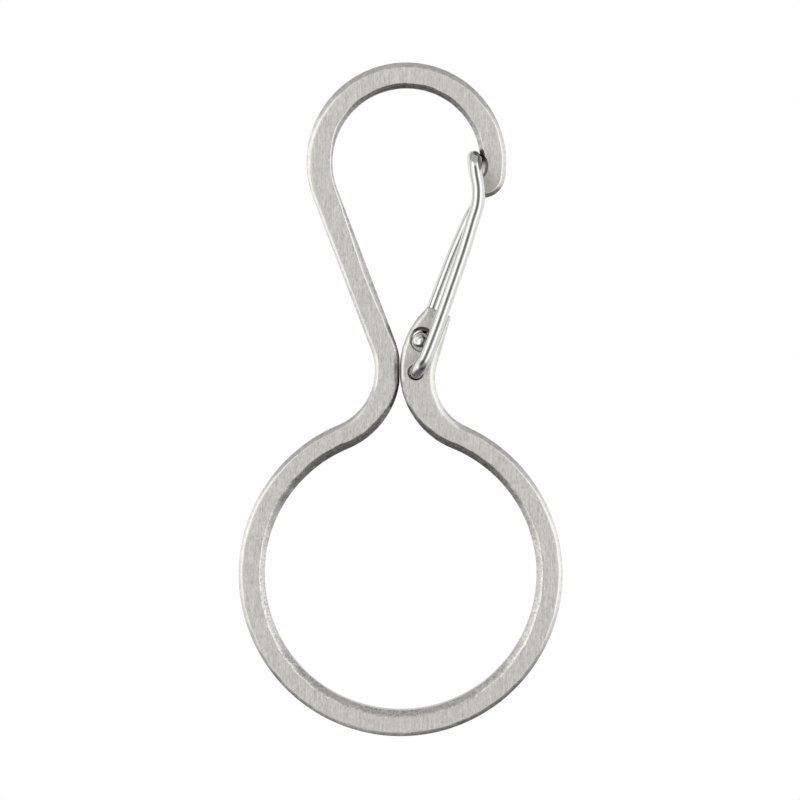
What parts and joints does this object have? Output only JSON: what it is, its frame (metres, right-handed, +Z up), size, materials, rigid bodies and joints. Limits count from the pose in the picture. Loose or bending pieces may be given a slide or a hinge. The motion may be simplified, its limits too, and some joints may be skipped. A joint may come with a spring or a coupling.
{
  "type": "hook key ring",
  "caption": "Flat steel key ring: a bar bent into a round ring, pinched necks and a hook, and a sprung wire gate that closes the hook.",
  "frame": {"origin": "top of the hook's inside, in the middle of the bar's thickness, where the part hangs", "axes": "+Z up along the part's length, +Y towards the back, +X towards the gate and the nose; the front face looks along -Y"},
  "size_m": [0.0342, 0.0056, 0.0711],
  "materials": {
    "frame_steel": "brushed along its length, rounded edges polished",
    "gate_wire": "smooth drawn wire, polished"
  },
  "bodies": {
    "frame": {"frame": "frame_steel"},
    "gate_front": {"gate_front_leg": "gate_wire"},
    "gate_rear": {"gate_rear_leg": "gate_wire"}
  },
  "joints": [
    {"name": "gate_pivot", "type": "hinge", "parent": "frame", "child": "gate_front", "pos_m": [0.00101, 0, -0.02995], "axis": [0, -1, 0], "range_deg": [0, 34], "stiffness_Nm_per_rad": 0.06, "springref_deg": -20.05},
    {"name": "gate_twist", "type": "hinge", "parent": "gate_front", "child": "gate_rear", "pos_m": [0.007, 0, -0.00729], "axis": [0, -1, 0], "range_deg": [0, 6]}
  ],
  "couplings": [
    {"joint": "gate_twist", "follows": "gate_pivot", "ratio": 0.166}
  ]
}
